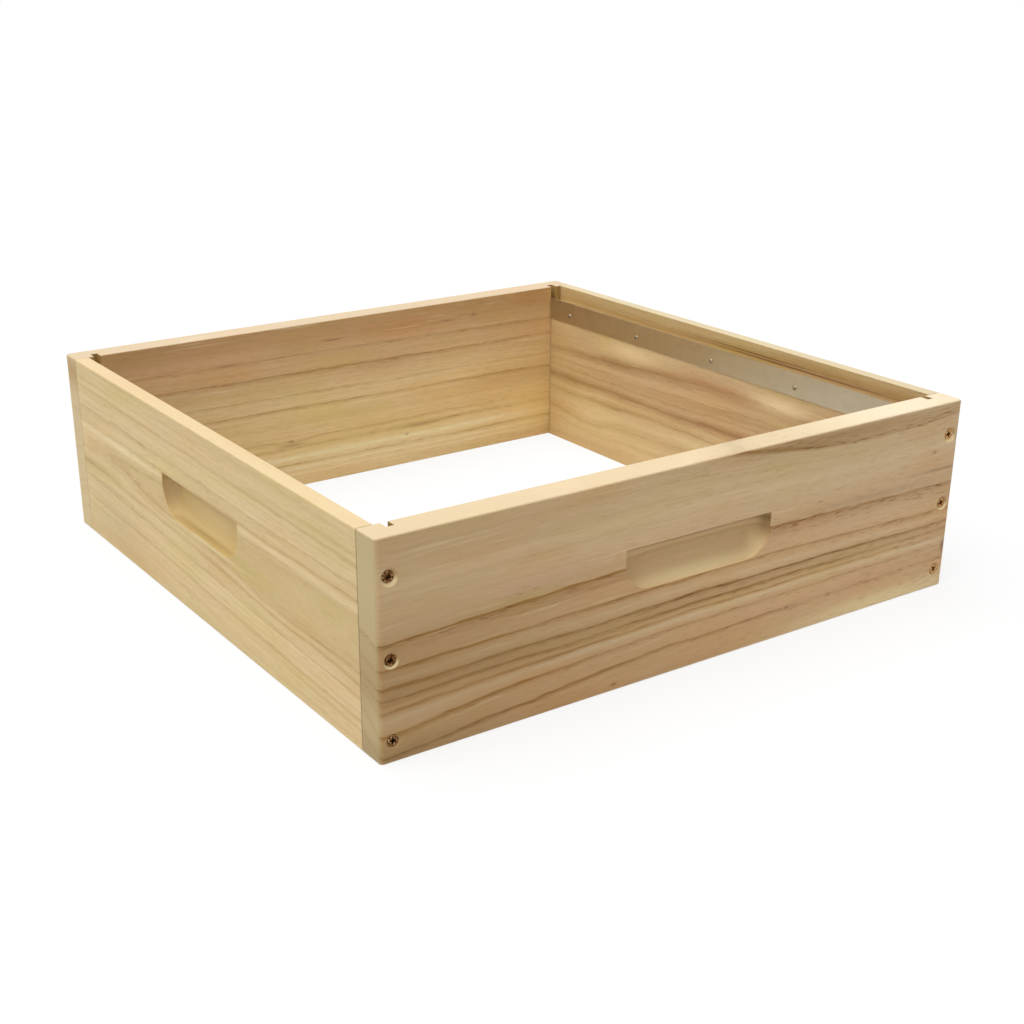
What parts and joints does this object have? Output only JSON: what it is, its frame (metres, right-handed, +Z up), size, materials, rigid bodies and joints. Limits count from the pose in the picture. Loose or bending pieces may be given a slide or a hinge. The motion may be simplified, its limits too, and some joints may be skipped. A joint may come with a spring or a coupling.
{
  "type": "beehive honey super",
  "caption": "Open square wooden box of a beehive, with scooped hand-holds, screwed corner joints and steel strips that carry hanging honey frames.",
  "frame": {"origin": "middle of the bottom rim's plane", "axes": "+Z up; +X along the front board from left to right; +Y from the front board to the back board"},
  "size_m": [0.508, 0.508, 0.15],
  "materials": {
    "board_wood": "matte",
    "galvanised_strip": "satin",
    "yellow_zinc_screw": "satin",
    "bright_nail": "satin"
  },
  "bodies": {
    "root": {"front_board": "board_wood", "back_board": "board_wood", "left_board": "board_wood", "right_board": "board_wood", "left_frame_rest": "galvanised_strip", "right_frame_rest": "galvanised_strip", "screw_front_left_bottom": "yellow_zinc_screw", "screw_front_left_middle": "yellow_zinc_screw", "screw_front_left_top": "yellow_zinc_screw", "screw_front_right_bottom": "yellow_zinc_screw", "screw_front_right_middle": "yellow_zinc_screw", "screw_front_right_top": "yellow_zinc_screw", "screw_back_left_bottom": "yellow_zinc_screw", "screw_back_left_middle": "yellow_zinc_screw", "screw_back_left_top": "yellow_zinc_screw", "screw_back_right_bottom": "yellow_zinc_screw", "screw_back_right_middle": "yellow_zinc_screw", "screw_back_right_top": "yellow_zinc_screw", "nail_left_1": "bright_nail", "nail_left_2": "bright_nail", "nail_left_3": "bright_nail", "nail_left_4": "bright_nail", "nail_left_5": "bright_nail", "nail_right_1": "bright_nail", "nail_right_2": "bright_nail", "nail_right_3": "bright_nail", "nail_right_4": "bright_nail", "nail_right_5": "bright_nail"}
  },
  "joints": []
}
